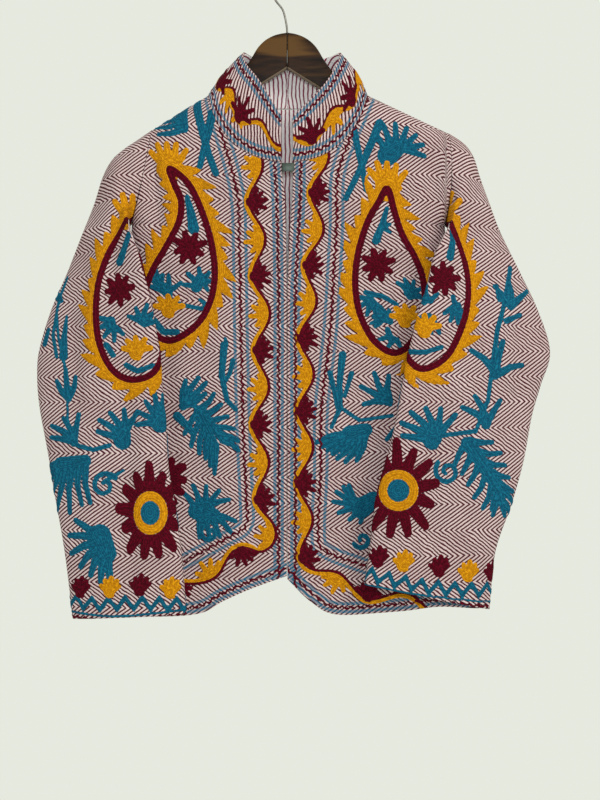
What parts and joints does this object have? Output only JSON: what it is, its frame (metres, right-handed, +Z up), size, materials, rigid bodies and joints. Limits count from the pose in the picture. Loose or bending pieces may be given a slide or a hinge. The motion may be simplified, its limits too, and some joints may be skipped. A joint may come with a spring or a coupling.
{
  "type": "suzani jacket on a hanger",
  "caption": "Straight-cut embroidered jacket with a stand collar, edge-to-edge fronts and wide sleeves, hanging on a mitred wooden hanger with a wire hook.",
  "frame": {"origin": "the inside top of the hanger's wire hook, where a rail or a nail carries it", "axes": "+X to the right as seen from the front of the jacket, +Y towards its back, +Z up"},
  "size_m": [0.671, 0.1154, 0.8438],
  "materials": {
    "embroidered_cotton": "chain-stitched all over in pinkish white on burgundy cotton, with teal, mustard and burgundy motifs",
    "fastener_metal": "dull plated wire and plate",
    "walnut": "oiled dark wood with lighter streaks",
    "steel_wire": "bright drawn wire"
  },
  "bodies": {
    "root": {"back": "embroidered_cotton", "front_left": "embroidered_cotton", "front_right": "embroidered_cotton", "sleeve_left_top": "embroidered_cotton", "sleeve_left_middle": "embroidered_cotton", "sleeve_left_cuff": "embroidered_cotton", "sleeve_right_top": "embroidered_cotton", "sleeve_right_middle": "embroidered_cotton", "sleeve_right_cuff": "embroidered_cotton", "collar": "embroidered_cotton", "fastener_hook": "fastener_metal", "fastener_bar": "fastener_metal", "hanger_arm_left": "walnut", "hanger_arm_right": "walnut", "hanger_hook": "steel_wire"}
  },
  "joints": []
}
